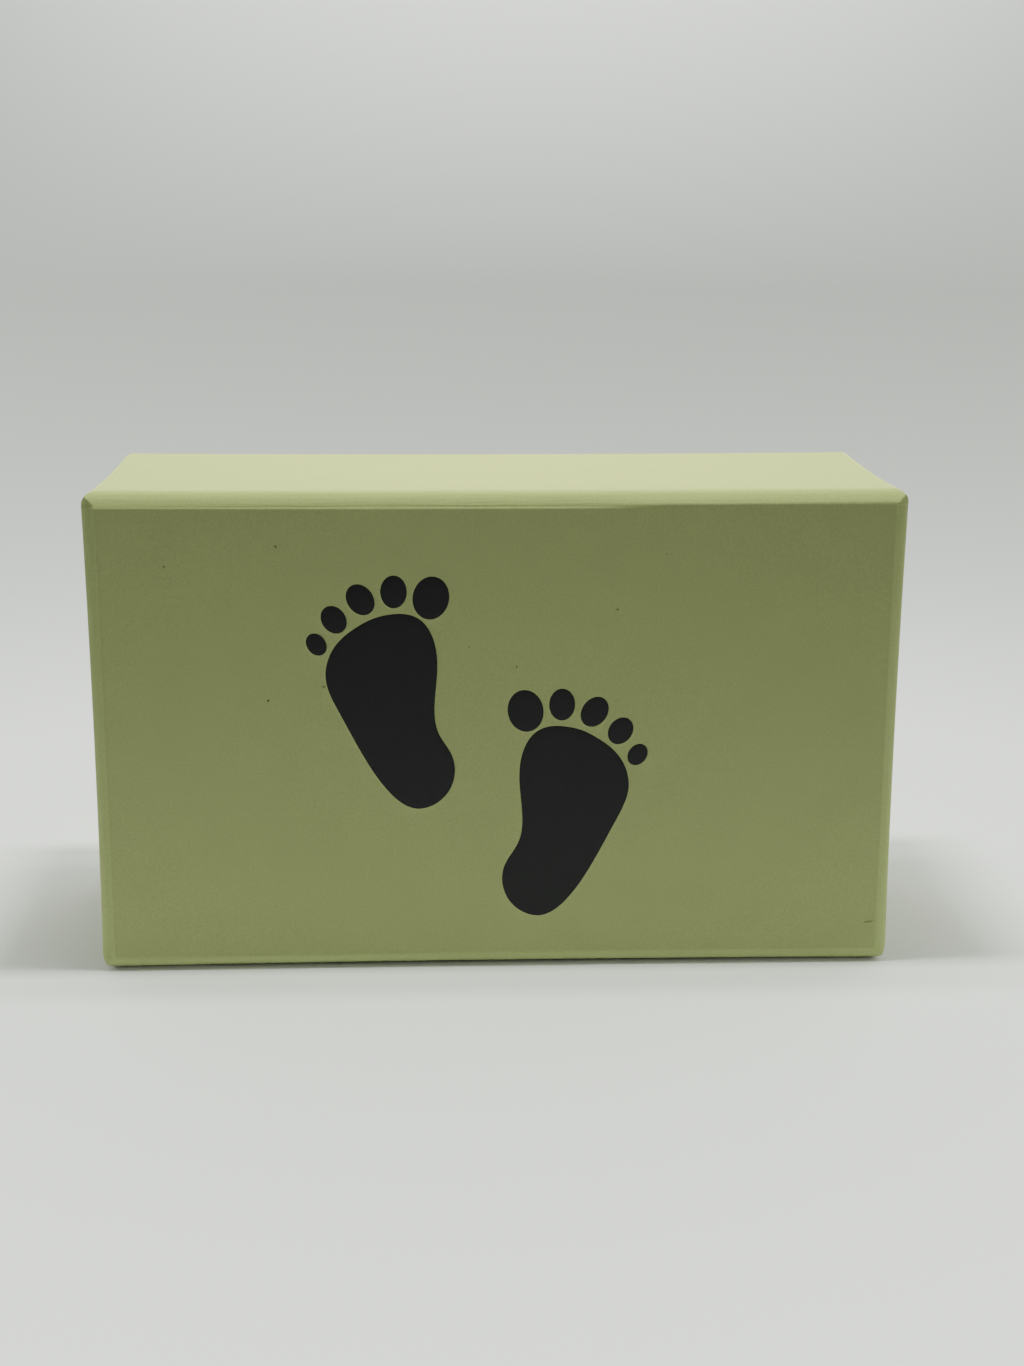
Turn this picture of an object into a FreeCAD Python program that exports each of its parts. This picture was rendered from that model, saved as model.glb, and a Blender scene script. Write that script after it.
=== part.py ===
import FreeCAD, Part

import math
import os

# A firm closed-cell EVA foam brick for yoga and floor exercise, standing on one long narrow side.
# Two bare footprints, a left and a right one, are hot-stamped on its front face in thin black film.
#
# Millimetres. +X runs along the brick, +Y from the stamped front to the back, +Z up.
# The origin is the middle of the underside.

Vector = FreeCAD.Vector

# The foam block.
LENGTH = 230.0
THICKNESS = 82.0
HEIGHT = 140.0
EDGE_RADIUS = 4.5  # the router's round-over, the same on all twelve edges

# The stamped films. The stamp sinks the foam's skin, and the film's face stays just below the foam's.
POCKET_DEPTH = 0.3
FILM_THICKNESS = 0.2

# A right footprint, in the plane of the front face: X across the foot towards the little toe, Z towards
# the toes, measured from the middle of the sole. A smooth closed curve runs through the sole's points,
# from the top of the ball, down the inner side, round the heel and up the outer side.
SOLE_POINTS = [
    (-1.0, 27.1), (-8.9, 24.2), (-12.2, 15.7),  # the ball, behind the big toe
    (-11.6, 1.6), (-12.7, -7.9),                # the shallow hollow of the arch
    (-16.5, -14.6), (-14.9, -26.0), (-6.3, -30.3), (2.2, -24.5),  # the heel
    (7.7, -16.4), (15.6, -1.3),                 # the long outer side
    (19.1, 8.5), (16.2, 18.0), (9.7, 23.6),     # the ball, behind the small toes
]

# Each toe is an ellipse: its middle, its two radii, and the lean of its long axis from X in degrees.
TOES = {
    "big_toe": (-10.7, 31.6, 6.2, 5.1, 100.0),
    "second_toe": (-0.3, 33.4, 4.7, 3.7, 90.0),
    "third_toe": (9.0, 31.2, 4.7, 3.7, 58.0),
    "fourth_toe": (16.5, 25.5, 4.2, 3.4, 58.0),
    "little_toe": (21.5, 18.4, 3.4, 2.7, 57.0),
}

# Where the middle of each sole lies on the front face. The left footprint is the right one mirrored.
RIGHT_SOLE_MIDDLE = (18.5, 45.5)
LEFT_SOLE_MIDDLE = (-29.6, 78.5)


def bar_rounded_along(axis):
    """The block's full box, with only the four edges that run along one axis rounded."""
    box = Part.makeBox(LENGTH, THICKNESS, HEIGHT, Vector(-LENGTH / 2, -THICKNESS / 2, 0))
    edges = [edge for edge in box.Edges if edge.tangentAt(edge.FirstParameter).cross(axis).Length < 1e-6]
    return box.makeFillet(EDGE_RADIUS, edges)


def brick():
    """The block with every edge rounded by a pass along it, so that the passes meet in mitred corners."""
    along_length = bar_rounded_along(Vector(1, 0, 0))
    along_thickness = bar_rounded_along(Vector(0, 1, 0))
    along_height = bar_rounded_along(Vector(0, 0, 1))
    return along_length.common(along_thickness).common(along_height)


def sole_face():
    """The sole's outline as a face in the XZ plane."""
    curve = Part.BSplineCurve()
    curve.interpolate(Points=[Vector(x, 0, z) for x, z in SOLE_POINTS], PeriodicFlag=True)
    return Part.Face(Part.Wire(curve.toShape()))


def toe_face(x, z, long_radius, short_radius, lean):
    """One toe's ellipse as a face in the XZ plane."""
    angle = math.radians(lean)
    middle = Vector(x, 0, z)
    long_end = middle + Vector(math.cos(angle), 0, math.sin(angle)) * long_radius
    short_end = middle + Vector(-math.sin(angle), 0, math.cos(angle)) * short_radius
    return Part.Face(Part.Wire(Part.Ellipse(long_end, short_end, middle).toShape()))


def footprint_faces(side, sole_middle):
    """One footprint's faces by name, placed in the plane of the front face."""
    faces = {"sole": sole_face()}
    for toe, ellipse in TOES.items():
        faces[toe] = toe_face(*ellipse)
    placed = {}
    for name, face in faces.items():
        if side == "left":
            face = face.mirror(Vector(0, 0, 0), Vector(1, 0, 0))
        face.translate(Vector(sole_middle[0], -THICKNESS / 2, sole_middle[1]))
        placed[f"{side}_footprint_{name}"] = face
    return placed


def film(face):
    """A film of even thickness lying on the floor of its pocket."""
    film_front = POCKET_DEPTH - FILM_THICKNESS
    solid = face.extrude(Vector(0, FILM_THICKNESS, 0))
    solid.translate(Vector(0, film_front, 0))
    return solid


def foam_block(faces):
    """The brick with a shallow pocket stamped into its front for every film."""
    pockets = [face.extrude(Vector(0, POCKET_DEPTH, 0)) for face in faces]
    return brick().cut(pockets)


def export(name, shape):
    """Write one node, after making sure that it is sound."""
    if not shape.isValid() or len(shape.Solids) != 1:
        raise RuntimeError(f"{name} isn't one valid solid")
    solid = shape.Solids[0]
    solid.exportStep(f"parts/{name}.step")
    box = solid.BoundBox
    print(f"{name}: {solid.Volume:.1f} mm3, x {box.XMin:.2f} to {box.XMax:.2f}, "
          f"y {box.YMin:.2f} to {box.YMax:.2f}, z {box.ZMin:.2f} to {box.ZMax:.2f}")


def main():
    os.makedirs("parts", exist_ok=True)
    faces = {**footprint_faces("left", LEFT_SOLE_MIDDLE), **footprint_faces("right", RIGHT_SOLE_MIDDLE)}
    export("foam_block", foam_block(list(faces.values())))
    for name, face in faces.items():
        export(name, film(face))


main()
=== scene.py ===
import math

import bmesh
import bpy
import numpy as np
from bpy.props import FloatProperty, FloatVectorProperty, IntProperty
from mathutils import Matrix, Vector
from mathutils.geometry import delaunay_2d_cdt


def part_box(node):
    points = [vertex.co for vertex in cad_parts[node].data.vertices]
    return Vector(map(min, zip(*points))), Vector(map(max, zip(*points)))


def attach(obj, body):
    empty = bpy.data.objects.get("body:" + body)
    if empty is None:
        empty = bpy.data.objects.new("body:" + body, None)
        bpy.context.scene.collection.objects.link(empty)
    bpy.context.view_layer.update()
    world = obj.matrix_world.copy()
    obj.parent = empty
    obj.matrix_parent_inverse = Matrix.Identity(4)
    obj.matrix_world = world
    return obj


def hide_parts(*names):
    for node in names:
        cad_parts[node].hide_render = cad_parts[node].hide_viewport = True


bl_info = {
    "name": "Stamped foam brick",
    "version": (1, 0, 0),
    "blender": (4, 5, 0),
    "location": "3D View > Sidebar > Foam Brick",
    "description": "A routed EVA foam brick with two footprints stamped on it in black film",
    "category": "Add Mesh",
}

# A firm EVA foam brick, cut from sheet with all twelve edges routed round, with a left and a right bare
# footprint hot-stamped on its front face. Everything is in metres, in the part's own frame.

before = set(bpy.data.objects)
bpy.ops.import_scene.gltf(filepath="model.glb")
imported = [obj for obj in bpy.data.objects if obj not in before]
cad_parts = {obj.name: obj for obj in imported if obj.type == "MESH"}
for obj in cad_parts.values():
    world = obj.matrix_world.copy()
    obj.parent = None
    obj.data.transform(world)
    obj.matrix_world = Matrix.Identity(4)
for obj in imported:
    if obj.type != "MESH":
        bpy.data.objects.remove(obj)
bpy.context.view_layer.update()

MM = 0.001
BODY = "root"
BRICK_NODE = "foam_block"
FILM_NODES = sorted(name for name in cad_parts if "_footprint_" in name)
LOW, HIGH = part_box(BRICK_NODE)
CENTRE = (LOW + HIGH) / 2
HALF = (HIGH - LOW) / 2
FRONT = LOW.y
FILM_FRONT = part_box(FILM_NODES[0])[0].y
POCKET_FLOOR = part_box(FILM_NODES[0])[1].y


def cad_edge_radius():
    """The round-over's radius: how far in from the end the flat of the top face stops."""
    top = [v.co.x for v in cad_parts[BRICK_NODE].data.vertices if v.co.z > HIGH.z - 1e-6]
    return HIGH.x - max(top)


def linear(colour):
    """An sRGB hex colour as linear red, green and blue."""
    parts = [int(colour[i:i + 2], 16) / 255 for i in (1, 3, 5)]
    return tuple(p / 12.92 if p <= 0.04045 else ((p + 0.055) / 1.055) ** 2.4 for p in parts)


# ---------------------------------------------------------------- sizes and colours


class FoamBrickSettings(bpy.types.PropertyGroup):
    """Sizes and colours of the brick, its films and the stage."""

    edge_radius: FloatProperty(
        name="Edge radius", description="Round-over that the router leaves on every edge",
        default=cad_edge_radius(), min=1 * MM, unit="LENGTH")
    hollow_middle: FloatProperty(
        name="Hollow at middle", description="How far the middle of each face has sunk in cooling",
        default=0.7 * MM, min=0.0, unit="LENGTH")
    hollow_edge: FloatProperty(
        name="Hollow at edges", description="How far the middle of each edge has sunk as the foam cooled",
        default=0.4 * MM, min=0.0, unit="LENGTH")
    cut_angle: FloatProperty(
        name="Cut angle", description="Angle at which the router's round cutter leaves each face",
        default=math.radians(7), min=0.0, max=math.radians(30), subtype="ANGLE")
    router_step: FloatProperty(
        name="Router step", description="Small step left where the router ran a little too deep",
        default=0.26 * MM, min=0.0, unit="LENGTH")
    router_rise: FloatProperty(
        name="Router rise", description="How far out the router drifted at the other end of its stroke",
        default=0.22 * MM, min=0.0, unit="LENGTH")
    pore_density: FloatProperty(
        name="Open pores", description="Open pores on a square metre of skin",
        default=1500.0, min=0.0)
    pore_radius: FloatProperty(
        name="Largest pore radius", description="Radius of the largest of the scattered pores",
        default=0.26 * MM, min=0.05 * MM, unit="LENGTH")
    pore_seed: IntProperty(
        name="Pore seed", description="Fixed number that the pores are scattered by", default=7)
    foam_colour: FloatVectorProperty(
        name="Foam colour", description="Pale yellow-green of the foam", subtype="COLOR",
        default=linear("#aeb47c"), min=0.0, max=1.0)
    # Painted light: the round-overs are coloured lighter than the flats, which stands in for the light
    # that the routed edges catch.
    routed_painted_light_colour: FloatVectorProperty(
        name="Routed colour", description="Foam colour on the routed edges, where fresh cells lie open",
        subtype="COLOR", default=linear("#b9c185"), min=0.0, max=1.0)
    film_colour: FloatVectorProperty(
        name="Film colour", description="Black of the stamped film", subtype="COLOR",
        default=linear("#161719"), min=0.0, max=1.0)
    paper_colour: FloatVectorProperty(
        name="Paper colour", description="Pale grey of the floor and the backdrop", subtype="COLOR",
        default=linear("#d8dcde"), min=0.0, max=1.0)
    # Painted light: the colour that the paper glows with; no lamp stands behind it.
    painted_glow_colour: FloatVectorProperty(
        name="Glow colour", description="Light that comes through the backdrop paper", subtype="COLOR",
        default=linear("#d8dcd6"), min=0.0, max=1.0)


# ---------------------------------------------------------------- helpers


def add_node(tree, kind, inputs=(), **settings):
    """Add a node to a tree. Settings are its properties; inputs are values, or sockets to link from."""
    node = tree.nodes.new(kind)
    for name, value in settings.items():
        setattr(node, name, value)
    for key, value in dict(inputs).items():
        if isinstance(value, bpy.types.NodeSocket):
            tree.links.new(value, node.inputs[key])
        else:
            node.inputs[key].default_value = value
    return node


def new_geometry_tree(name, inputs):
    """A geometry tree with a geometry input and output and the named inputs, and its input sockets."""
    tree = bpy.data.node_groups.new(name, "GeometryNodeTree")
    tree.interface.new_socket("Geometry", in_out="INPUT", socket_type="NodeSocketGeometry")
    tree.interface.new_socket("Geometry", in_out="OUTPUT", socket_type="NodeSocketGeometry")
    for label, kind in inputs.items():
        tree.interface.new_socket(label, in_out="INPUT", socket_type=kind)
    return tree, add_node(tree, "NodeGroupInput").outputs


def run_nodes(piece, tree, values):
    """Run a geometry tree on a piece with these input values, and keep the result as its plain mesh."""
    modifier = piece.modifiers.new(tree.name, "NODES")
    modifier.node_group = tree
    for item in tree.interface.items_tree:
        if item.in_out == "INPUT" and item.name in values:
            modifier[item.identifier] = values[item.name]
    bpy.context.view_layer.update()
    depsgraph = bpy.context.evaluated_depsgraph_get()
    mesh = bpy.data.meshes.new_from_object(piece.evaluated_get(depsgraph), depsgraph=depsgraph)
    piece.modifiers.remove(modifier)
    mesh.name = piece.name
    piece.data = mesh


def new_piece(name, points, faces):
    """A mesh object with its place in its mesh and its faces turned outwards."""
    mesh = bpy.data.meshes.new(name)
    mesh.from_pydata([tuple(p) for p in points], [], faces)
    work = bmesh.new()
    work.from_mesh(mesh)
    bmesh.ops.recalc_face_normals(work, faces=work.faces)
    work.to_mesh(mesh)
    work.free()
    piece = bpy.data.objects.new(name, mesh)
    bpy.context.scene.collection.objects.link(piece)
    return piece


def film_outline(node):
    """A film's edge as points (x, z), anticlockwise, read from the front of its CAD solid."""
    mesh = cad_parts[node].data
    place = [(round(v.co.x, 7), round(v.co.z, 7)) for v in mesh.vertices]
    steps = set()
    for polygon in mesh.polygons:
        corners = list(polygon.vertices)
        if polygon.normal.y < -0.5:
            steps.update((place[a], place[b]) for a, b in zip(corners, corners[1:] + corners[:1]))
    after = {a: b for a, b in steps if (b, a) not in steps}
    outline = [min(after)]
    while after[outline[-1]] != outline[0]:
        outline.append(after[outline[-1]])
    return np.array(outline)


def offset(outline, distance):
    """The outline moved outwards by a distance."""
    along = np.roll(outline, -1, axis=0) - np.roll(outline, 1, axis=0)
    along /= np.linalg.norm(along, axis=1)[:, None]
    return outline + distance * np.column_stack((along[:, 1], -along[:, 0]))


def raised(outline, y):
    """The outline's points as points in space, at one depth."""
    return [(x, y, z) for x, z in outline]


def loft(rings):
    """Points and faces of a closed solid through rings of equal length, its two ends capped."""
    count = len(rings[0])
    points = [p for ring in rings for p in ring]
    faces = [list(range(count)), list(range(len(points) - count, len(points)))]
    for start in range(0, len(points) - count, count):
        for i in range(count):
            j = (i + 1) % count
            faces.append([start + i, start + j, start + count + j, start + count + i])
    return points, faces


# ---------------------------------------------------------------- materials

NOISE_LOW, NOISE_HIGH = 0.3, 0.7  # the range that a noise texture's value keeps to, nearly everywhere


def foam_material(settings):
    """Closed-cell EVA foam, cut from sheet and routed: matt, with a fine grain of cut cells that scatters
    light softly, a slight unevenness of colour, and faint lines along the edges where the router ran. The
    cells are drawn two or three times too coarse, because real ones are too fine to show."""
    cell, cell_depth = 0.5 * MM, 0.10 * MM
    mottle = 14 * MM
    chatter, chatter_depth, chatter_run = 0.65 * MM, 0.11 * MM, 30 * MM
    cut_begins, cut_full = 0.05 * MM, 0.5 * MM
    grain_swing, patch_swing = 0.08, 0.015
    material = bpy.data.materials.new("EVA_foam_skived_and_routed")
    material.use_nodes = True
    tree = material.node_tree
    shader = tree.nodes["Principled BSDF"]
    place = add_node(tree, "ShaderNodeTexCoord").outputs["Object"]

    # How far each point lies into the round-over along each axis. On a flat only the face's own axis has
    # a share, so the smaller shares tell a routed edge from a flat.
    from_centre = add_node(tree, "ShaderNodeVectorMath", {0: place, 1: CENTRE}, operation="SUBTRACT")
    spread = add_node(tree, "ShaderNodeVectorMath", {0: from_centre.outputs[0]}, operation="ABSOLUTE")
    flat = HALF - Vector((settings.edge_radius,) * 3)
    beyond = add_node(tree, "ShaderNodeVectorMath", {0: spread.outputs[0], 1: flat}, operation="SUBTRACT")
    into_edge = add_node(tree, "ShaderNodeVectorMath", {0: beyond.outputs[0], 1: (0, 0, 0)},
                         operation="MAXIMUM").outputs[0]
    x, y, z = add_node(tree, "ShaderNodeSeparateXYZ", {0: into_edge}).outputs
    larger = add_node(tree, "ShaderNodeMath", {0: x, 1: y}, operation="MAXIMUM")
    largest = add_node(tree, "ShaderNodeMath", {0: larger.outputs[0], 1: z}, operation="MAXIMUM")
    total = add_node(tree, "ShaderNodeVectorMath", {0: into_edge, 1: (1, 1, 1)}, operation="DOT_PRODUCT")
    smaller = add_node(tree, "ShaderNodeMath", {0: total.outputs["Value"], 1: largest.outputs[0]},
                       operation="SUBTRACT")
    routed = add_node(tree, "ShaderNodeMapRange",
                      {0: smaller.outputs[0], 1: cut_begins, 2: cut_full}).outputs[0]

    grain = add_node(tree, "ShaderNodeTexNoise", {"Vector": place, "Scale": 1 / cell, "Detail": 2.0,
                                                  "Roughness": 0.6})
    patches = add_node(tree, "ShaderNodeTexNoise", {"Vector": place, "Scale": 1 / mottle, "Detail": 3.0})
    # Painted light: the routed edges take the lighter routed colour, standing in for the light that the
    # round-overs catch.
    base = add_node(tree, "ShaderNodeMix", {0: routed, 6: (*settings.foam_colour, 1),
                                            7: (*settings.routed_painted_light_colour, 1)}, data_type="RGBA")
    grain_share = add_node(tree, "ShaderNodeMapRange",
                           {"Value": grain.outputs["Fac"], 1: NOISE_LOW, 2: NOISE_HIGH,
                            3: 1 - grain_swing, 4: 1 + grain_swing})
    patch_share = add_node(tree, "ShaderNodeMapRange",
                           {"Value": patches.outputs["Fac"], 1: NOISE_LOW, 2: NOISE_HIGH,
                            3: 1 - patch_swing, 4: 1 + patch_swing})
    both = add_node(tree, "ShaderNodeMath", {0: grain_share.outputs[0], 1: patch_share.outputs[0]},
                    operation="MULTIPLY")
    mottled = add_node(tree, "ShaderNodeVectorMath", {0: base.outputs[2], "Scale": both.outputs[0]},
                       operation="SCALE")
    tree.links.new(mottled.outputs[0], shader.inputs["Base Color"])

    across = add_node(tree, "ShaderNodeVectorMath", {0: into_edge, "Scale": 1 / chatter},
                      operation="SCALE")
    drift = add_node(tree, "ShaderNodeVectorMath", {0: place, "Scale": 1 / chatter_run},
                     operation="SCALE")
    lines_at = add_node(tree, "ShaderNodeVectorMath", {0: across.outputs[0], 1: drift.outputs[0]},
                        operation="ADD")
    lines = add_node(tree, "ShaderNodeTexNoise",
                     {"Vector": lines_at.outputs[0], "Scale": 1.0, "Detail": 1.0})
    on_edges = add_node(tree, "ShaderNodeMath", {0: lines.outputs["Fac"], 1: routed},
                        operation="MULTIPLY")
    ruled = add_node(tree, "ShaderNodeBump", {"Height": on_edges.outputs[0], "Strength": 1.0,
                                              "Distance": chatter_depth})
    celled = add_node(tree, "ShaderNodeBump", {"Height": grain.outputs["Fac"], "Strength": 0.5,
                                               "Distance": cell_depth, "Normal": ruled.outputs[0]})
    tree.links.new(celled.outputs[0], shader.inputs["Normal"])
    shader.inputs["Diffuse Roughness"].default_value = 1.0
    shader.inputs["Roughness"].default_value = 0.8
    shader.inputs["Specular IOR Level"].default_value = 0.1
    shader.inputs["IOR"].default_value = 1.49
    return material


def film_material(settings):
    """Hot-stamping film: a thin black polymer layer pressed onto the foam. It is smoother than the foam,
    with a low satin sheen, and the foam's cells show through it as a faint orange peel."""
    peel, peel_depth = 0.9 * MM, 0.05 * MM
    material = bpy.data.materials.new("hot_stamped_black_film")
    material.use_nodes = True
    tree = material.node_tree
    shader = tree.nodes["Principled BSDF"]
    place = add_node(tree, "ShaderNodeTexCoord").outputs["Object"]
    cells = add_node(tree, "ShaderNodeTexNoise", {"Vector": place, "Scale": 1 / peel, "Detail": 3.0})
    shade = add_node(tree, "ShaderNodeMapRange",
                     {"Value": cells.outputs["Fac"], 1: NOISE_LOW, 2: NOISE_HIGH, 3: 0.9, 4: 1.1})
    colour = add_node(tree, "ShaderNodeVectorMath",
                      {0: tuple(settings.film_colour), "Scale": shade.outputs[0]},
                      operation="SCALE")
    tree.links.new(colour.outputs[0], shader.inputs["Base Color"])
    bump = add_node(tree, "ShaderNodeBump", {"Height": cells.outputs["Fac"], "Strength": 0.25,
                                             "Distance": peel_depth})
    tree.links.new(bump.outputs[0], shader.inputs["Normal"])
    shader.inputs["Roughness"].default_value = 0.55
    shader.inputs["Specular IOR Level"].default_value = 0.2
    shader.inputs["IOR"].default_value = 1.5
    return material


def paper_material(settings):
    """Matt paper for the floor and the backdrop, with painted light: its emission glows faintly beyond the
    floor's middle and more strongly up the wall, in a painted pool of light that is centred a little to
    the right behind the brick. Each glow grows between two distances or heights, in metres, up to its
    strength."""
    (outer_from, outer_to), outer_glow = (0.15, 0.30), 0.22
    (low_from, low_to), low_glow = (0.03, 0.16), 0.10
    (high_from, high_to), high_glow = (0.15, 0.45), 1.60
    (pool_from, pool_to), beside_pool = (0.9, 1.0), 0.4
    material = bpy.data.materials.new("backlit_paper")
    material.use_nodes = True
    tree = material.node_tree
    shader = tree.nodes["Principled BSDF"]
    shader.inputs["Base Color"].default_value = (*settings.paper_colour, 1)
    shader.inputs["Roughness"].default_value = 0.9
    shader.inputs["Specular IOR Level"].default_value = 0.2
    # Painted light: the paper emits its own glow, which stands in for light on the floor's outer part and
    # the backdrop.
    shader.inputs["Emission Color"].default_value = (*settings.painted_glow_colour, 1)
    place = add_node(tree, "ShaderNodeTexCoord").outputs["Object"]
    height = add_node(tree, "ShaderNodeSeparateXYZ", {0: place}).outputs["Z"]
    flat = add_node(tree, "ShaderNodeVectorMath", {0: place, 1: (1, 1, 0)},
                    operation="MULTIPLY").outputs[0]
    reach = add_node(tree, "ShaderNodeVectorMath", {0: flat}, operation="LENGTH").outputs["Value"]
    heading = add_node(tree, "ShaderNodeVectorMath", {0: flat}, operation="NORMALIZE").outputs[0]
    pool_at = (math.sin(POOL_HEADING), math.cos(POOL_HEADING), 0)
    facing = add_node(tree, "ShaderNodeVectorMath", {0: heading, 1: pool_at}, operation="DOT_PRODUCT")
    pool = add_node(tree, "ShaderNodeMapRange",
                    {0: facing.outputs["Value"], 1: pool_from, 2: pool_to, 3: beside_pool, 4: 1.0})
    outer = add_node(tree, "ShaderNodeMapRange",
                     {0: reach, 1: outer_from, 2: outer_to, 3: 0.0, 4: outer_glow},
                     interpolation_type="SMOOTHSTEP")
    low = add_node(tree, "ShaderNodeMapRange", {0: height, 1: low_from, 2: low_to, 3: 0.0, 4: low_glow})
    high = add_node(tree, "ShaderNodeMapRange",
                    {0: height, 1: high_from, 2: high_to, 3: 0.0, 4: high_glow})
    wall = add_node(tree, "ShaderNodeMath", {0: low.outputs[0], 1: high.outputs[0]}, operation="ADD")
    pooled = add_node(tree, "ShaderNodeMath", {0: wall.outputs[0], 1: pool.outputs[0]},
                      operation="MULTIPLY")
    glow = add_node(tree, "ShaderNodeMath", {0: pooled.outputs[0], 1: outer.outputs[0]}, operation="ADD")
    tree.links.new(glow.outputs[0], shader.inputs["Emission Strength"])
    return material


# ---------------------------------------------------------------- the brick's geometry trees

SLIVER = 0.002 * MM  # points of the cut mesh that lie nearer than this are merged
SHARP_ANGLE = math.radians(46)  # an edge that turns more than this is shaded as a sharp one
GRID_CELL = 5 * MM  # the flats' grid, coarse enough to stay light and fine enough to hollow smoothly
NARROW_CELL = 0.3 * MM  # the outermost row of each flat's grid
ARC_STEPS = 10  # steps from a flat to the middle of its round-over
IS_FLAT = 0.9999  # a face whose normal lies this nearly along an axis is part of a flat
PORE_SPACING = 4 * MM
FILM_CLEARANCE = 1.2 * MM  # no pore lies nearer to a film than this
SMALLEST_PORE = 0.3  # of the largest
CORNER_MEETS_AT = math.pi / 4  # round-overs of neighbouring faces meet half way round the edge


def hollow_tree():
    """A tree that sinks the middle of every face and edge of a box, and whatever lies on it, and leaves
    the corners of its flats where they are. A point moves in along an axis by a smooth rule of the
    other two."""
    tree, given = new_geometry_tree("Hollow faces", {
        "Centre": "NodeSocketVector", "Half size": "NodeSocketVector", "Edge radius": "NodeSocketFloat",
        "Hollow at middle": "NodeSocketFloat", "Hollow at edges": "NodeSocketFloat",
        "Material": "NodeSocketMaterial"})
    position = add_node(tree, "GeometryNodeInputPosition").outputs[0]
    from_centre = add_node(tree, "ShaderNodeVectorMath", {0: position, 1: given["Centre"]},
                           operation="SUBTRACT")
    share = add_node(tree, "ShaderNodeVectorMath", {0: from_centre.outputs[0], 1: given["Half size"]},
                     operation="DIVIDE")
    flat = add_node(tree, "ShaderNodeVectorMath", {0: given["Half size"], 1: given["Edge radius"]},
                    operation="SUBTRACT")
    along = add_node(tree, "ShaderNodeVectorMath", {0: from_centre.outputs[0], 1: flat.outputs[0]},
                     operation="DIVIDE")
    squared = add_node(tree, "ShaderNodeVectorMath", {0: along.outputs[0], 1: along.outputs[0]},
                       operation="MULTIPLY")
    inward = add_node(tree, "ShaderNodeVectorMath", {0: (1, 1, 1), 1: squared.outputs[0]},
                      operation="SUBTRACT")
    inside = add_node(tree, "ShaderNodeVectorMath", {0: inward.outputs[0], 1: (0, 0, 0)},
                      operation="MAXIMUM")
    x, y, z = add_node(tree, "ShaderNodeSeparateXYZ", {0: inside.outputs[0]}).outputs
    next_axis = add_node(tree, "ShaderNodeCombineXYZ", {0: y, 1: z, 2: x}).outputs[0]
    last_axis = add_node(tree, "ShaderNodeCombineXYZ", {0: z, 1: x, 2: y}).outputs[0]
    both = add_node(tree, "ShaderNodeVectorMath", {0: next_axis, 1: last_axis}, operation="MULTIPLY")
    either = add_node(tree, "ShaderNodeVectorMath", {0: next_axis, 1: last_axis}, operation="ADD")
    at_edges = add_node(tree, "ShaderNodeVectorMath",
                        {0: either.outputs[0], "Scale": given["Hollow at edges"]},
                        operation="SCALE")
    twice_edge = add_node(tree, "ShaderNodeMath", {0: given["Hollow at edges"], 1: 2.0},
                          operation="MULTIPLY")
    rest = add_node(tree, "ShaderNodeMath", {0: given["Hollow at middle"], 1: twice_edge.outputs[0]},
                    operation="SUBTRACT")
    at_middle = add_node(tree, "ShaderNodeVectorMath", {0: both.outputs[0], "Scale": rest.outputs[0]},
                         operation="SCALE")
    depth = add_node(tree, "ShaderNodeVectorMath", {0: at_edges.outputs[0], 1: at_middle.outputs[0]},
                     operation="ADD")
    signed = add_node(tree, "ShaderNodeVectorMath", {0: depth.outputs[0], 1: share.outputs[0]},
                      operation="MULTIPLY")
    moved = add_node(tree, "ShaderNodeVectorMath", {0: signed.outputs[0], "Scale": -1.0},
                     operation="SCALE")
    sunk = add_node(tree, "GeometryNodeSetPosition",
                    {"Geometry": given["Geometry"], "Offset": moved.outputs[0]})
    angle = add_node(tree, "GeometryNodeInputMeshEdgeAngle").outputs["Unsigned Angle"]
    sharp = add_node(tree, "FunctionNodeCompare", {0: angle, 1: SHARP_ANGLE},
                     operation="GREATER_THAN")
    smooth = add_node(tree, "GeometryNodeSetShadeSmooth",
                      {"Geometry": sunk.outputs[0], "Shade Smooth": True})
    creased = add_node(tree, "GeometryNodeSetShadeSmooth",
                       {"Geometry": smooth.outputs[0], "Selection": sharp.outputs[0],
                        "Shade Smooth": False},
                       domain="EDGE")
    whole = add_node(tree, "GeometryNodeRealizeInstances", {0: creased.outputs[0]})
    coated = add_node(tree, "GeometryNodeSetMaterial",
                      {"Geometry": whole.outputs[0], "Material": given["Material"]})
    add_node(tree, "NodeGroupOutput", {0: coated.outputs[0]})
    return tree


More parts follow.
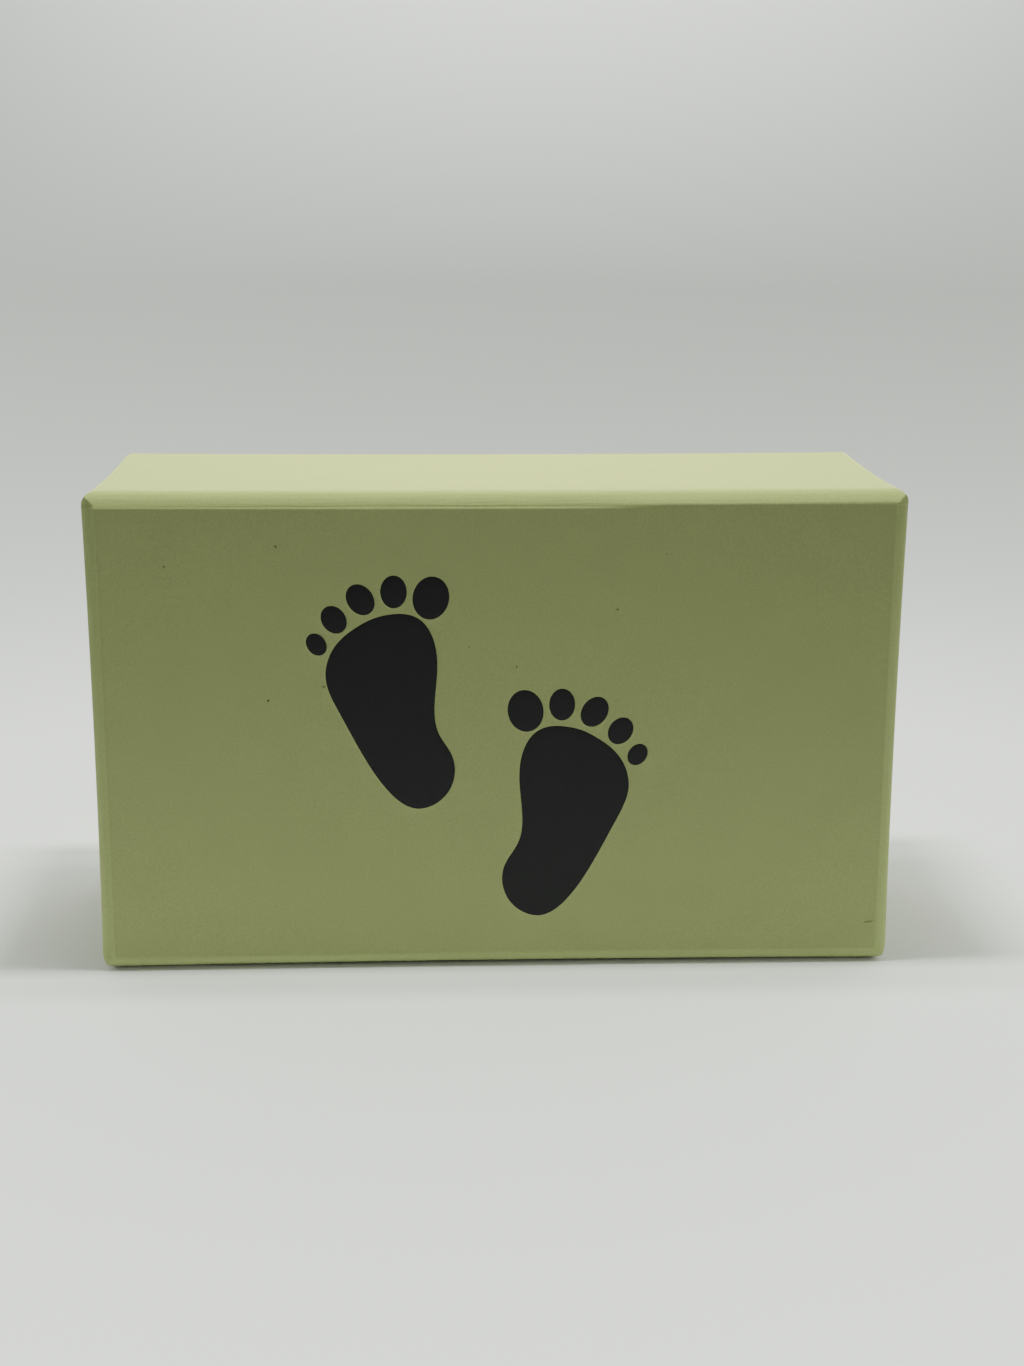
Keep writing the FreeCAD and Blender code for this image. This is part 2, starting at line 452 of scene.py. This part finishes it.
def routed_box(tree, given):
    """Nodes that turn a gridded cube into a box with every edge routed round and its corners mitred. Along
    an axis a point first crosses the flat, then turns by equal angles to where it meets the next face."""
    both_ends = add_node(tree, "ShaderNodeMath", {0: given["Arc steps"], 1: 2.0}, operation="MULTIPLY")
    total = add_node(tree, "ShaderNodeVectorMath", {0: given["Cells"], 1: both_ends.outputs[0]},
                     operation="ADD")
    flat_share = add_node(tree, "ShaderNodeVectorMath", {0: given["Cells"], 1: total.outputs[0]},
                          operation="DIVIDE")
    counts = add_node(tree, "ShaderNodeVectorMath", {0: total.outputs[0], 1: (1, 1, 1)}, operation="ADD")
    nx, ny, nz = add_node(tree, "ShaderNodeSeparateXYZ", {0: counts.outputs[0]}).outputs
    cube = add_node(tree, "GeometryNodeMeshCube", {"Size": (2, 2, 2), "Vertices X": nx, "Vertices Y": ny,
                                                   "Vertices Z": nz})
    position = add_node(tree, "GeometryNodeInputPosition").outputs[0]
    out = add_node(tree, "ShaderNodeVectorMath", {0: position}, operation="ABSOLUTE").outputs[0]
    side = add_node(tree, "ShaderNodeVectorMath", {0: position}, operation="SIGN").outputs[0]
    flat = add_node(tree, "ShaderNodeVectorMath", {0: given["Half size"], 1: given["Edge radius"]},
                    operation="SUBTRACT")
    # The outermost row of cells on each flat is narrow, so that the flat shades evenly up to its edge.
    within = add_node(tree, "ShaderNodeVectorMath", {0: out, 1: flat_share.outputs[0]},
                      operation="DIVIDE")
    last_row = add_node(tree, "ShaderNodeVectorMath", {0: (2, 2, 2), 1: given["Cells"]},
                        operation="DIVIDE")
    inner = add_node(tree, "ShaderNodeVectorMath", {0: (1, 1, 1), 1: last_row.outputs[0]},
                     operation="SUBTRACT")
    narrow = add_node(tree, "ShaderNodeVectorMath", {0: (NARROW_CELL,) * 3, 1: flat.outputs[0]},
                      operation="DIVIDE")
    wide = add_node(tree, "ShaderNodeVectorMath", {0: (1, 1, 1), 1: narrow.outputs[0]},
                    operation="SUBTRACT")
    stretch = add_node(tree, "ShaderNodeVectorMath", {0: wide.outputs[0], 1: inner.outputs[0]},
                       operation="DIVIDE")
    stretched = add_node(tree, "ShaderNodeVectorMath", {0: within.outputs[0], 1: stretch.outputs[0]},
                         operation="MULTIPLY")
    capped = add_node(tree, "ShaderNodeVectorMath", {0: stretched.outputs[0], 1: (1, 1, 1)},
                      operation="MINIMUM")
    on_flat = add_node(tree, "ShaderNodeVectorMath", {0: capped.outputs[0], 1: flat.outputs[0]},
                       operation="MULTIPLY")
    turn = add_node(tree, "ShaderNodeMapRange",
                    {6: out, 7: flat_share.outputs[0], 8: (1, 1, 1), 9: given["Cut angle"],
                     10: (CORNER_MEETS_AT,) * 3}, data_type="FLOAT_VECTOR").outputs["Vector"]
    x, y, z = add_node(tree, "ShaderNodeSeparateXYZ", {0: turn}).outputs
    next_axis = add_node(tree, "ShaderNodeCombineXYZ", {0: y, 1: z, 2: x})
    last_axis = add_node(tree, "ShaderNodeCombineXYZ", {0: z, 1: x, 2: y})
    larger = add_node(tree, "ShaderNodeVectorMath", {0: next_axis.outputs[0], 1: last_axis.outputs[0]},
                      operation="MAXIMUM")
    sine = add_node(tree, "ShaderNodeVectorMath", {0: turn}, operation="SINE")
    cosine = add_node(tree, "ShaderNodeVectorMath", {0: larger.outputs[0]}, operation="COSINE")
    first_sine = add_node(tree, "ShaderNodeMath", {0: given["Cut angle"]}, operation="SINE").outputs[0]
    first_cosine = add_node(tree, "ShaderNodeMath", {0: given["Cut angle"]},
                            operation="COSINE").outputs[0]
    along_face = add_node(tree, "ShaderNodeVectorMath", {0: sine.outputs[0], 1: first_sine},
                          operation="SUBTRACT")
    below_face = add_node(tree, "ShaderNodeVectorMath", {0: cosine.outputs[0], 1: first_cosine},
                          operation="SUBTRACT")
    chord = add_node(tree, "ShaderNodeMath", {0: first_cosine, 1: first_sine},
                     operation="SUBTRACT").outputs[0]
    off_face = add_node(tree, "ShaderNodeVectorMath", {0: below_face.outputs[0], 1: chord},
                        operation="ADD")
    nudged = add_node(tree, "ShaderNodeVectorMath", {0: out, 1: (1e-3,) * 3}, operation="ADD")
    is_face = add_node(tree, "ShaderNodeVectorMath", {0: nudged.outputs[0]}, operation="FLOOR")
    round_share = add_node(tree, "ShaderNodeMix", {1: is_face.outputs[0], 4: along_face.outputs[0],
                                                   5: off_face.outputs[0]},
                           data_type="VECTOR", factor_mode="NON_UNIFORM")
    cutter = add_node(tree, "ShaderNodeMath", {0: given["Edge radius"], 1: chord}, operation="DIVIDE")
    rounded = add_node(tree, "ShaderNodeVectorMath",
                       {0: round_share.outputs[1], "Scale": cutter.outputs[0]},
                       operation="SCALE")
    reach = add_node(tree, "ShaderNodeVectorMath", {0: on_flat.outputs[0], 1: rounded.outputs[0]},
                     operation="ADD")
    signed = add_node(tree, "ShaderNodeVectorMath", {0: reach.outputs[0], 1: side}, operation="MULTIPLY")
    placed = add_node(tree, "ShaderNodeVectorMath", {0: signed.outputs[0], 1: given["Centre"]},
                      operation="ADD")
    box = add_node(tree, "GeometryNodeSetPosition",
                   {"Geometry": cube.outputs[0], "Position": placed.outputs[0]})
    return add_node(tree, "GeometryNodeTriangulate", {0: box.outputs[0]},
                    quad_method="LONGEST_DIAGONAL").outputs[0]


def pores(tree, given, box, stamp):
    """Nodes that scatter small balls over the flats, clear of the films, and add the larger marks."""
    normal = add_node(tree, "GeometryNodeInputNormal").outputs[0]
    spread = add_node(tree, "ShaderNodeVectorMath", {0: normal}, operation="ABSOLUTE")
    x, y, z = add_node(tree, "ShaderNodeSeparateXYZ", {0: spread.outputs[0]}).outputs
    larger = add_node(tree, "ShaderNodeMath", {0: x, 1: y}, operation="MAXIMUM")
    largest = add_node(tree, "ShaderNodeMath", {0: larger.outputs[0], 1: z}, operation="MAXIMUM")
    is_flat = add_node(tree, "FunctionNodeCompare", {0: largest.outputs[0], 1: IS_FLAT},
                       operation="GREATER_THAN")
    scattered = add_node(tree, "GeometryNodeDistributePointsOnFaces",
                         {"Mesh": box, "Selection": is_flat.outputs[0], "Distance Min": PORE_SPACING,
                          "Density Max": given["Pore density"], "Seed": given["Seed"]},
                         distribute_method="POISSON")
    distance = add_node(tree, "GeometryNodeProximity", {"Geometry": stamp}, target_element="FACES")
    near_film = add_node(tree, "FunctionNodeCompare",
                         {0: distance.outputs["Distance"], 1: FILM_CLEARANCE},
                         operation="LESS_THAN")
    clear = add_node(tree, "GeometryNodeDeleteGeometry",
                     {"Geometry": scattered.outputs["Points"], "Selection": near_film.outputs[0]})
    smallest = add_node(tree, "ShaderNodeMath", {0: given["Pore radius"], 1: SMALLEST_PORE},
                        operation="MULTIPLY")
    size = add_node(tree, "FunctionNodeRandomValue",
                    {2: smallest.outputs[0], 3: given["Pore radius"], "Seed": given["Seed"]},
                    data_type="FLOAT")
    ball = add_node(tree, "GeometryNodeMeshIcoSphere", {"Radius": 1.0, "Subdivisions": 2})
    small = add_node(tree, "GeometryNodeInstanceOnPoints",
                     {"Points": clear.outputs[0], "Instance": ball.outputs[0], "Scale": size.outputs[1]})
    marks = add_node(tree, "GeometryNodeObjectInfo", {"Object": given["Marks"]})
    reach = add_node(tree, "GeometryNodeInputNamedAttribute", {"Name": "reach"}, data_type="FLOAT_VECTOR")
    lean = add_node(tree, "GeometryNodeInputNamedAttribute", {"Name": "lean"}, data_type="FLOAT_VECTOR")
    large = add_node(tree, "GeometryNodeInstanceOnPoints",
                     {"Points": marks.outputs["Geometry"], "Instance": ball.outputs[0],
                      "Scale": reach.outputs[0], "Rotation": lean.outputs[0]})
    joined = add_node(tree, "GeometryNodeJoinGeometry", {0: small.outputs[0]})
    tree.links.new(large.outputs[0], joined.inputs[0])
    return add_node(tree, "GeometryNodeRealizeInstances", {0: joined.outputs[0]}).outputs[0]


# The router's two passes along the front: up or down, and the places along the brick, from -1 to 1, by
# which it has drifted fully out and fully in.
ROUTER_PASSES = ((1, 0.45, 0.15), (-1, -0.4, 0.0))
STEP_RISES = (0.0, 0.07)  # shares of the round-over's height over which the ledge is cut
STEP_FALLS = (0.1, 0.85)  # and over which it runs out again
FRONT_SHARE = (3.5 * MM, 4.4 * MM)  # how far behind the face the pass still reaches


def router_steps(tree, given, shape):
    """Nodes that let the router drift on the two front round-overs. It starts too deep, which leaves a
    step at the foot of the curve, and ends a little out, where the curve meets the face at a sharper
    angle. The top edge was cut from left to right, and the bottom edge from right to left."""
    for edge, out_at, deep_at in ROUTER_PASSES:
        position = add_node(tree, "GeometryNodeInputPosition").outputs[0]
        from_centre = add_node(tree, "ShaderNodeVectorMath", {0: position, 1: given["Centre"]},
                               operation="SUBTRACT")
        share = add_node(tree, "ShaderNodeVectorMath", {0: from_centre.outputs[0], 1: given["Half size"]},
                         operation="DIVIDE")
        along = add_node(tree, "ShaderNodeSeparateXYZ", {0: share.outputs[0]}).outputs["X"]
        _, y, z = add_node(tree, "ShaderNodeSeparateXYZ", {0: from_centre.outputs[0]}).outputs
        _, deep, high = add_node(tree, "ShaderNodeSeparateXYZ", {0: given["Half size"]}).outputs
        up = add_node(tree, "ShaderNodeMath", {0: z, 1: float(edge)}, operation="MULTIPLY")
        flat = add_node(tree, "ShaderNodeMath", {0: high, 1: given["Edge radius"]}, operation="SUBTRACT")
        into = add_node(tree, "ShaderNodeMath", {0: up.outputs[0], 1: flat.outputs[0]},
                        operation="SUBTRACT")
        turned = add_node(tree, "ShaderNodeMath", {0: into.outputs[0], 1: given["Edge radius"]},
                          operation="DIVIDE")
        rises = add_node(tree, "ShaderNodeMapRange",
                         {0: turned.outputs[0], 1: STEP_RISES[0], 2: STEP_RISES[1]},
                         interpolation_type="SMOOTHSTEP")
        falls = add_node(tree, "ShaderNodeMapRange",
                         {0: turned.outputs[0], 1: STEP_FALLS[0], 2: STEP_FALLS[1], 3: 1.0, 4: 0.0},
                         interpolation_type="SMOOTHSTEP")
        outward = add_node(tree, "ShaderNodeMath", {0: given["Router rise"], 1: -1.0},
                           operation="MULTIPLY")
        drift = add_node(tree, "ShaderNodeMapRange",
                         {0: along, 1: out_at, 2: deep_at, 3: outward.outputs[0],
                          4: given["Router step"]},
                         interpolation_type="SMOOTHSTEP")
        behind = add_node(tree, "ShaderNodeMath", {0: y, 1: deep}, operation="ADD")
        front = add_node(tree, "ShaderNodeMapRange",
                         {0: behind.outputs[0], 1: FRONT_SHARE[0], 2: FRONT_SHARE[1], 3: 1.0, 4: 0.0})
        shape_of = add_node(tree, "ShaderNodeMath", {0: rises.outputs[0], 1: falls.outputs[0]},
                            operation="MULTIPLY")
        weight = add_node(tree, "ShaderNodeMath", {0: shape_of.outputs[0], 1: front.outputs[0]},
                          operation="MULTIPLY")
        depth = add_node(tree, "ShaderNodeMath", {0: weight.outputs[0], 1: drift.outputs[0]},
                         operation="MULTIPLY")
        to_face = add_node(tree, "ShaderNodeMath", {0: behind.outputs[0], 1: -1.0}, operation="MULTIPLY")
        kept_in = add_node(tree, "ShaderNodeMath", {0: depth.outputs[0], 1: to_face.outputs[0]},
                           operation="MAXIMUM")
        move = add_node(tree, "ShaderNodeCombineXYZ", {0: 0.0, 1: kept_in.outputs[0], 2: 0.0})
        shape = add_node(tree, "GeometryNodeSetPosition",
                         {"Geometry": shape, "Offset": move.outputs[0]}).outputs[0]
    return shape


def brick_tree(hollow):
    """The whole brick: the routed box, stamped, pitted, stepped by the router and sunk at its faces."""
    tree, given = new_geometry_tree("Foam brick", {
        "Centre": "NodeSocketVector", "Half size": "NodeSocketVector", "Cells": "NodeSocketVector",
        "Arc steps": "NodeSocketInt", "Edge radius": "NodeSocketFloat", "Cut angle": "NodeSocketFloat",
        "Router step": "NodeSocketFloat", "Router rise": "NodeSocketFloat",
        "Pore density": "NodeSocketFloat", "Pore radius": "NodeSocketFloat", "Seed": "NodeSocketInt",
        "Sole stamps": "NodeSocketObject", "Toe stamps": "NodeSocketObject", "Marks": "NodeSocketObject",
        "Hollow at middle": "NodeSocketFloat", "Hollow at edges": "NodeSocketFloat",
        "Material": "NodeSocketMaterial"})
    box = routed_box(tree, given)
    soles = add_node(tree, "GeometryNodeObjectInfo", {"Object": given["Sole stamps"]}).outputs["Geometry"]
    toes = add_node(tree, "GeometryNodeObjectInfo", {"Object": given["Toe stamps"]}).outputs["Geometry"]
    stamps = add_node(tree, "GeometryNodeJoinGeometry", {0: soles})
    tree.links.new(toes, stamps.inputs[0])
    balls = pores(tree, given, box, stamps.outputs[0])
    cut = add_node(tree, "GeometryNodeMeshBoolean", {0: box, 1: soles}, operation="DIFFERENCE",
                   solver="MANIFOLD")
    tree.links.new(toes, cut.inputs[1])
    tree.links.new(balls, cut.inputs[1])
    clean = add_node(tree, "GeometryNodeMergeByDistance",
                     {"Geometry": cut.outputs[0], "Distance": SLIVER})
    stepped = router_steps(tree, given, clean.outputs[0])
    sunk = add_node(tree, "GeometryNodeGroup", node_tree=hollow)
    tree.links.new(stepped, sunk.inputs["Geometry"])
    for name in ("Centre", "Half size", "Edge radius", "Hollow at middle", "Hollow at edges", "Material"):
        tree.links.new(given[name], sunk.inputs[name])
    whole = add_node(tree, "GeometryNodeRealizeInstances", {0: sunk.outputs[0]})
    coated = add_node(tree, "GeometryNodeSetMaterial",
                      {"Geometry": whole.outputs[0], "Material": given["Material"]})
    add_node(tree, "NodeGroupOutput", {0: coated.outputs[0]})
    return tree


def shared_tree():
    """The one hollowing tree that the brick and its films both use."""
    return bpy.data.node_groups.get("Hollow faces") or hollow_tree()


# ---------------------------------------------------------------- the brick

# The stamp's section, in mm: how far outside the film's edge, and how deep below the face. It is steep
# beside the film, then eases into a soft shoulder, and its last ring stands clear above the face.
STAMP_SECTION = ((0.0, 0.30), (0.0, 0.15), (0.12, 0.07), (0.28, 0.02), (0.40, -0.01), (0.40, -1.0))

PIT_DEPTH = 1.4  # a burst cell in the front face is deeper than its radius, by this factor

# The larger pits in the front face: (x, z) from the middle of the underside, and radius, all in mm.
FRONT_PITS = ((-65.0, 80.8, 0.46), (33.5, 106.6, 0.42), (-49.3, 84.7, 0.32), (-61.7, 124.9, 0.36),
              (-92.6, 119.2, 0.34), (-8.3, 96.0, 0.32), (5.2, 90.1, 0.32))

# Pits in the top face: (x, y) from its middle, and radius, in mm.
TOP_PITS = ((-54.8, 14.7, 0.35), (70.7, 2.1, 0.35))

# A short nick near the lower right corner: (x, z), then half its length, half its width and its depth, all
# in mm, and its rise in degrees.
NICK = ((108.8, 12.6), (1.6, 0.28, 0.45), 8.0)


def stamp_piece(name, nodes, centre_y):
    """Closed solids in the shape of the hot stamp, one for each film, to sink their pockets with."""
    points, faces = [], []
    for node in nodes:
        outline = film_outline(node)
        rings = [raised(offset(outline, out * MM), centre_y + deep * MM) for out, deep in STAMP_SECTION]
        more_points, more_faces = loft(rings)
        faces += [[i + len(points) for i in face] for face in more_faces]
        points += more_points
    return new_piece(name, points, faces)


def marks_piece():
    """Points for the larger pits and the nick, each with the size and lean of the ball that cuts it."""
    marks = [((x * MM, FRONT, z * MM), (r * MM, PIT_DEPTH * r * MM, r * MM), 0.0)
             for x, z, r in FRONT_PITS]
    marks += [((x * MM, y * MM, HIGH.z), (r * MM,) * 3, 0.0) for x, y, r in TOP_PITS]
    (x, z), (half_length, half_width, depth), rise = NICK
    nick_size = (half_length * MM, depth * MM, half_width * MM)
    marks.append(((x * MM, FRONT, z * MM), nick_size, -math.radians(rise)))
    piece = new_piece("marks", [place for place, _, _ in marks], [])
    reach = piece.data.attributes.new("reach", "FLOAT_VECTOR", "POINT")
    reach.data.foreach_set("vector", [r for _, size, _ in marks for r in size])
    lean = piece.data.attributes.new("lean", "FLOAT_VECTOR", "POINT")
    lean.data.foreach_set("vector", [a for _, _, turn in marks for a in (0.0, turn, 0.0)])
    return piece


class FOAMBRICK_OT_brick(bpy.types.Operator):
    """Make the foam brick: routed edges, stamped pockets, pores, pits and slightly hollow faces"""

    bl_idname = "foambrick.brick"
    bl_label = "Foam Brick"

    def execute(self, context):
        settings = context.scene.foam_brick
        soles = stamp_piece("sole_stamps", [n for n in FILM_NODES if n.endswith("sole")], FRONT)
        toes = stamp_piece("toe_stamps", [n for n in FILM_NODES if not n.endswith("sole")], FRONT)
        marks = marks_piece()
        brick = new_piece("foam_brick", [], [])
        run_nodes(brick, brick_tree(shared_tree()), {
            "Centre": CENTRE, "Half size": HALF, "Cells": [round(2 * h / GRID_CELL) for h in HALF],
            "Arc steps": ARC_STEPS, "Edge radius": settings.edge_radius, "Cut angle": settings.cut_angle,
            "Router step": settings.router_step, "Router rise": settings.router_rise,
            "Pore density": settings.pore_density, "Pore radius": settings.pore_radius,
            "Seed": settings.pore_seed, "Sole stamps": soles, "Toe stamps": toes, "Marks": marks,
            "Hollow at middle": settings.hollow_middle, "Hollow at edges": settings.hollow_edge,
            "Material": foam_material(settings)})
        for helper in (soles, toes, marks):
            bpy.data.objects.remove(helper)
        if not brick.data.polygons:
            raise RuntimeError("the foam brick came out empty")
        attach(brick, BODY)
        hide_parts(BRICK_NODE)
        return {"FINISHED"}


# ---------------------------------------------------------------- the films

FILM_GRID = 2.5 * MM  # spacing of the points that let a film bend with the face

# A film's edge: how far outside its outline, and how deep, as a share of its thickness.
FILM_SECTION = ((-0.2, 0.0), (-0.06, 0.1), (0.0, 0.4), (0.0, 1.0))


def inside(outline, point):
    """Whether a point lies inside a closed outline."""
    (x, z), within = point, False
    for (ax, az), (bx, bz) in zip(outline, np.roll(outline, -1, axis=0)):
        if (az > z) != (bz > z) and x < (bx - ax) * (z - az) / (bz - az) + ax:
            within = not within
    return within


def fill_points(outline, spacing):
    """A triangular grid of points inside an outline and clear of its edge."""
    low, high = outline.min(axis=0), outline.max(axis=0)
    rows = np.arange(low[1], high[1], spacing * math.sqrt(3) / 2)
    core = offset(outline, -0.6 * spacing)
    grid = [(x + (i % 2) * spacing / 2, z) for i, z in enumerate(rows)
            for x in np.arange(low[0], high[0], spacing)]
    return [p for p in grid if inside(core, p)]


def film_piece(node):
    """A thin film with a softly rounded edge, its face and back meshed finely enough to bend."""
    outline = film_outline(node)
    count = len(outline)
    thick = POCKET_FLOOR - FILM_FRONT
    rings = [raised(offset(outline, out * MM), FILM_FRONT + deep * thick) for out, deep in FILM_SECTION]
    fill = fill_points(outline, FILM_GRID)
    front_edge = offset(outline, FILM_SECTION[0][0] * MM)
    flat = [Vector(p) for p in front_edge] + [Vector(p) for p in fill]
    edges = [(i, (i + 1) % count) for i in range(count)]
    _, _, triangles, from_points, _, _ = delaunay_2d_cdt(flat, edges, [], 1, 1e-7)
    source = [sources[0] for sources in from_points]
    points = [p for ring in rings for p in ring]
    front_fill = len(points)
    points += raised(fill, FILM_FRONT)
    back_fill = len(points)
    points += raised(fill, POCKET_FLOOR)
    faces = []
    for start in range(0, 3 * count, count):
        faces += [[start + i, start + j, start + count + j, start + count + i] for i, j in edges]
    for triangle in triangles:
        corners = [source[i] for i in triangle]
        faces.append([i if i < count else front_fill + i - count for i in corners])
        faces.append([3 * count + i if i < count else back_fill + i - count for i in corners])
    return new_piece(node.replace("_footprint_", "_") + "_film", points, faces)


class FOAMBRICK_OT_films(bpy.types.Operator):
    """Make the two footprints: a film for each sole and each toe, lying in its stamped pocket"""

    bl_idname = "foambrick.films"
    bl_label = "Footprint Films"

    def execute(self, context):
        settings = context.scene.foam_brick
        material = film_material(settings)
        for node in FILM_NODES:
            film = film_piece(node)
            run_nodes(film, shared_tree(), {
                "Centre": CENTRE, "Half size": HALF, "Edge radius": settings.edge_radius,
                "Hollow at middle": settings.hollow_middle,
                "Hollow at edges": settings.hollow_edge, "Material": material})
            if not film.data.polygons:
                raise RuntimeError(f"{film.name} came out empty")
            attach(film, BODY)
            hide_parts(node)
        return {"FINISHED"}


# ---------------------------------------------------------------- the stage

# Metres. The floor is a disc, then a cove sweeps up into the wall.
FLOOR_RADII = (0.0005, 0.1, 0.2, 0.30)
COVE_START = 0.42
COVE_RADIUS = 0.60
COVE_STEPS = 24
WALL_TOP = 1.6
ROUND_STEPS = 96

WARM_WHITE = "#fffff4"
# Heading of the painted pool of light on the backdrop.
POOL_HEADING = math.radians(4.5)

# Lamps: name, place, size and watts.
LAMPS = (("key_lamp", (0, FRONT, 0.50), (0.08, 0.03), 2.1),
         ("rear_lamp", (0, 0.015, 0.50), (0.20, 0.03), 0.80))

# The room's walls: direction and strength. A wall lights everything within about 84 degrees of it.
WALL_LIGHT = (((0, 1, 0), 2.0), ((-0.97, 0.26, 0), 1.1), ((0.97, 0.26, 0), 1.75), ((0, -1, 0), 0.02))
WALL_SPREAD = 0.1

CAMERA_LENS = 52.74  # on a 36 mm sensor
CAMERA_PLACE = (-20.0, -587.1, 224.7)  # mm
CAMERA_YAW, CAMERA_DIP, CAMERA_ROLL = -2.50, 14.29, 0.223  # degrees


def lathe(name, profile, steps):
    """A surface turned round Z from a profile of (radius, height) points."""
    angles = [2 * math.pi * i / steps for i in range(steps)]
    points = [(r * math.cos(a), r * math.sin(a), z) for r, z in profile for a in angles]
    faces = []
    for ring in range(len(profile) - 1):
        for i in range(steps):
            j = (i + 1) % steps
            inner, outer = ring * steps, (ring + 1) * steps
            faces.append([inner + i, inner + j, outer + j, outer + i])
    mesh = bpy.data.meshes.new(name)
    mesh.from_pydata(points, [], faces)
    mesh.shade_smooth()
    surface = bpy.data.objects.new(name, mesh)
    bpy.context.scene.collection.objects.link(surface)
    return surface


def soft_lamp(name, place, size, power):
    """An area lamp that faces straight down and doesn't show in the picture itself."""
    light = bpy.data.lights.new(name, "AREA")
    light.shape = "RECTANGLE"
    light.size, light.size_y = size
    light.energy = power
    light.color = linear(WARM_WHITE)
    lamp = bpy.data.objects.new(name, light)
    lamp.matrix_world = Matrix.Translation(place)
    lamp.visible_camera = False
    bpy.context.scene.collection.objects.link(lamp)


def room_light():
    """Soft light from the room's pale walls, most of it from behind the brick, and none from below."""
    world = bpy.data.worlds.new("room")
    world.use_nodes = True
    tree = world.node_tree
    heading = add_node(tree, "ShaderNodeTexCoord").outputs["Generated"]
    light = 0.0
    for wall, strength in WALL_LIGHT:
        facing = add_node(tree, "ShaderNodeVectorMath", {0: heading, 1: wall}, operation="DOT_PRODUCT")
        share = add_node(tree, "ShaderNodeMapRange",
                         {0: facing.outputs["Value"], 1: WALL_SPREAD, 2: 1.0, 3: 0.0, 4: strength},
                         interpolation_type="SMOOTHSTEP")
        light = add_node(tree, "ShaderNodeMath", {0: share.outputs[0], 1: light},
                         operation="ADD").outputs[0]
    up = add_node(tree, "ShaderNodeSeparateXYZ", {0: heading}).outputs["Z"]
    above = add_node(tree, "ShaderNodeMath", {0: up, 1: 0.0}, operation="GREATER_THAN")
    lit = add_node(tree, "ShaderNodeMath", {0: light, 1: above.outputs[0]}, operation="MULTIPLY")
    background = tree.nodes["Background"]
    background.inputs["Color"].default_value = (*linear(WARM_WHITE), 1)
    tree.links.new(lit.outputs[0], background.inputs["Strength"])
    bpy.context.scene.world = world


def place_camera():
    """A long lens a little above the brick, looking down on it and a touch to the right."""
    data = bpy.data.cameras.new("camera")
    data.sensor_width = 36.0
    data.lens = CAMERA_LENS
    camera = bpy.data.objects.new("camera", data)
    yaw = Matrix.Rotation(math.radians(CAMERA_YAW), 4, "Z")
    tilt = Matrix.Rotation(math.radians(90 - CAMERA_DIP), 4, "X")
    roll = Matrix.Rotation(math.radians(CAMERA_ROLL), 4, "Z")
    camera.matrix_world = Matrix.Translation(Vector(CAMERA_PLACE) * MM) @ yaw @ tilt @ roll
    bpy.context.scene.collection.objects.link(camera)
    bpy.context.scene.camera = camera


class FOAMBRICK_OT_stage(bpy.types.Operator):
    """Set the stage: pale paper floor and backdrop, soft lamps overhead and the camera"""

    bl_idname = "foambrick.stage"
    bl_label = "Stage"

    def execute(self, context):
        settings = context.scene.foam_brick
        scene = context.scene
        paper = paper_material(settings)
        floor = lathe("floor", [(radius, 0.0) for radius in FLOOR_RADII], ROUND_STEPS)
        floor.data.materials.append(paper)
        bends = [math.pi / 2 * i / COVE_STEPS for i in range(COVE_STEPS + 1)]
        cove = [(COVE_START + COVE_RADIUS * math.sin(a), COVE_RADIUS * (1 - math.cos(a))) for a in bends]
        wall = [(COVE_START + COVE_RADIUS, WALL_TOP)]
        backdrop = lathe("backdrop", [(FLOOR_RADII[-1], 0.0)] + cove + wall, ROUND_STEPS)
        backdrop.data.materials.append(paper)
        backdrop.visible_diffuse = False
        backdrop.visible_glossy = False
        backdrop.visible_shadow = False
        for lamp in LAMPS:
            soft_lamp(*lamp)
        room_light()
        scene.view_settings.view_transform = "Filmic"
        place_camera()
        if scene.camera is None or scene.world is None:
            raise RuntimeError("the stage has no camera or no light")
        return {"FINISHED"}


class FOAMBRICK_PT_panel(bpy.types.Panel):
    """The brick's sizes, colours and pieces"""

    bl_idname = "FOAMBRICK_PT_panel"
    bl_label = "Foam Brick"
    bl_space_type = "VIEW_3D"
    bl_region_type = "UI"
    bl_category = "Foam Brick"

    def draw(self, context):
        settings = context.scene.foam_brick
        for name in FoamBrickSettings.__annotations__:
            self.layout.prop(settings, name)
        for operator in OPERATORS:
            self.layout.operator(operator.bl_idname)


OPERATORS = (FOAMBRICK_OT_brick, FOAMBRICK_OT_films, FOAMBRICK_OT_stage)
CLASSES = (FoamBrickSettings, *OPERATORS, FOAMBRICK_PT_panel)


def register():
    for cls in CLASSES:
        bpy.utils.register_class(cls)
    bpy.types.Scene.foam_brick = bpy.props.PointerProperty(type=FoamBrickSettings)


def unregister():
    del bpy.types.Scene.foam_brick
    for cls in reversed(CLASSES):
        bpy.utils.unregister_class(cls)


def main():
    """Make every piece and the stage."""
    register()
    bpy.ops.foambrick.brick()
    bpy.ops.foambrick.films()
    bpy.ops.foambrick.stage()


if __name__ == "__main__":
    main()
